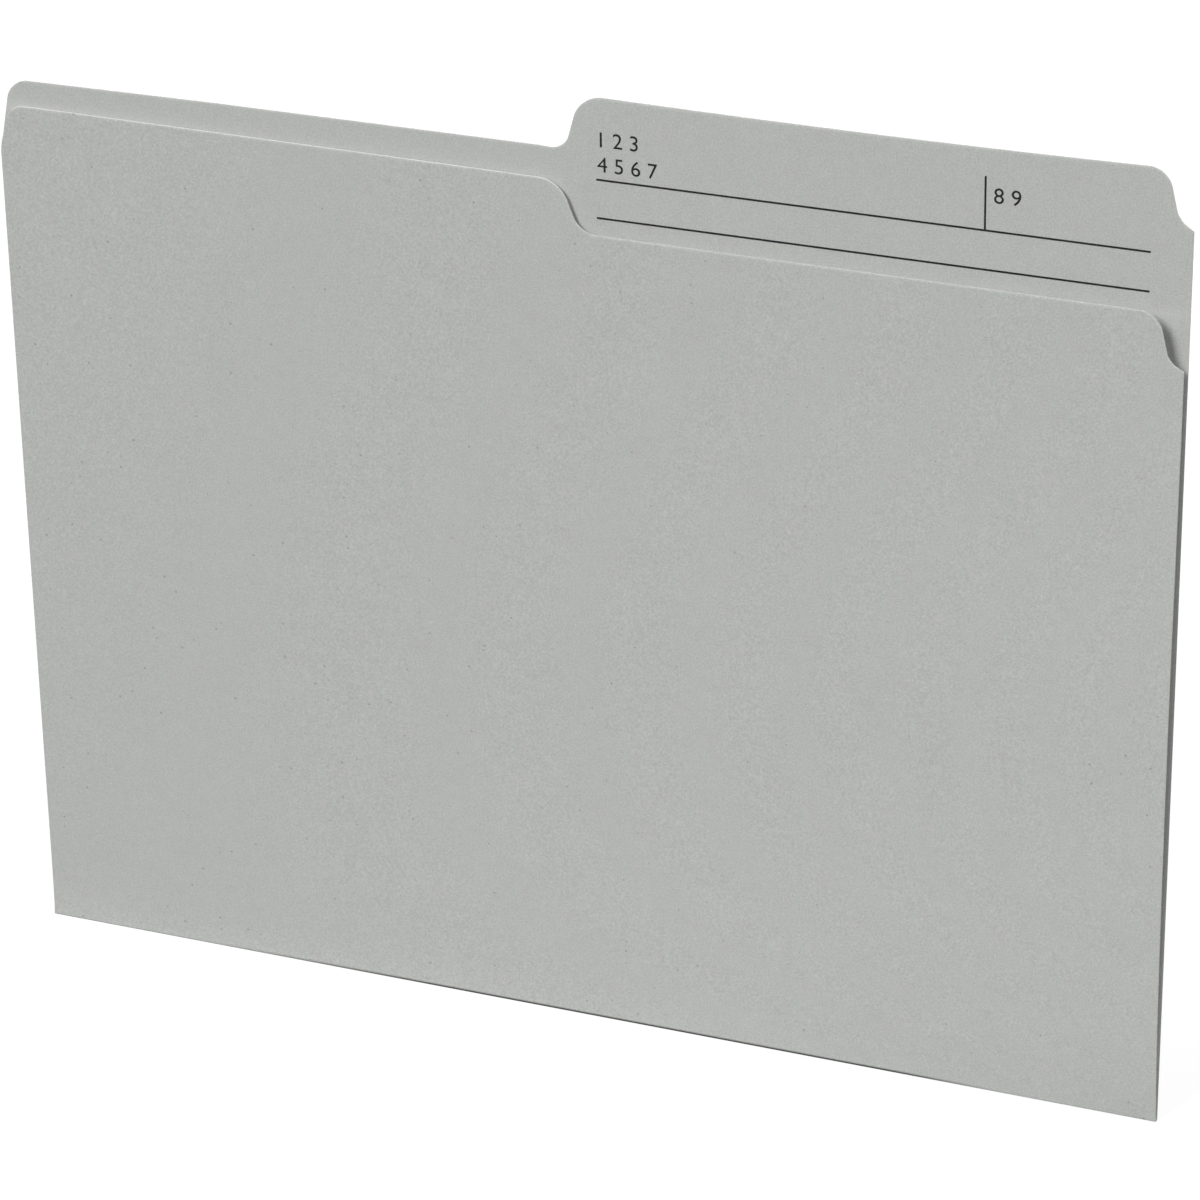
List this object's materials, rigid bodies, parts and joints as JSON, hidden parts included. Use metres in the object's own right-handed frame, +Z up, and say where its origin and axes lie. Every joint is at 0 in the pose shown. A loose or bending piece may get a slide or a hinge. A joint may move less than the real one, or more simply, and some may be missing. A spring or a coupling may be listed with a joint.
{
  "type": "file folder",
  "caption": "Reversible letter-size file folder: one sheet of board creased at its foot, with a half-width tab on the back panel and a front panel cut down below it.",
  "frame": {"origin": "the middle of the fold's flat underside", "axes": "+X along the fold, towards the side that carries the tab; +Y from the front panel to the back panel; +Z up the back panel, which stands upright"},
  "size_m": [0.2982, 0.0054, 0.2413],
  "materials": {
    "board": "matte",
    "ink": "matte"
  },
  "bodies": {
    "fold": {"fold_strip": "board"},
    "back": {"back_panel": "board", "tab_rule_upper_inside": "ink", "tab_rule_lower_inside": "ink", "tab_divider_inside": "ink", "tab_rule_upper_outside": "ink", "tab_rule_lower_outside": "ink", "tab_divider_outside": "ink"},
    "front": {"front_panel": "board"}
  },
  "joints": [
    {"name": "back_crease", "type": "hinge", "parent": "fold", "child": "back", "pos_m": [0, 0.0006, 0.00014], "axis": [-1, 0, 0], "range_deg": [0, 90]},
    {"name": "front_crease", "type": "hinge", "parent": "fold", "child": "front", "pos_m": [0, -0.0006, 0.00014], "axis": [1, 0, 0], "range_deg": [0, 84]}
  ]
}
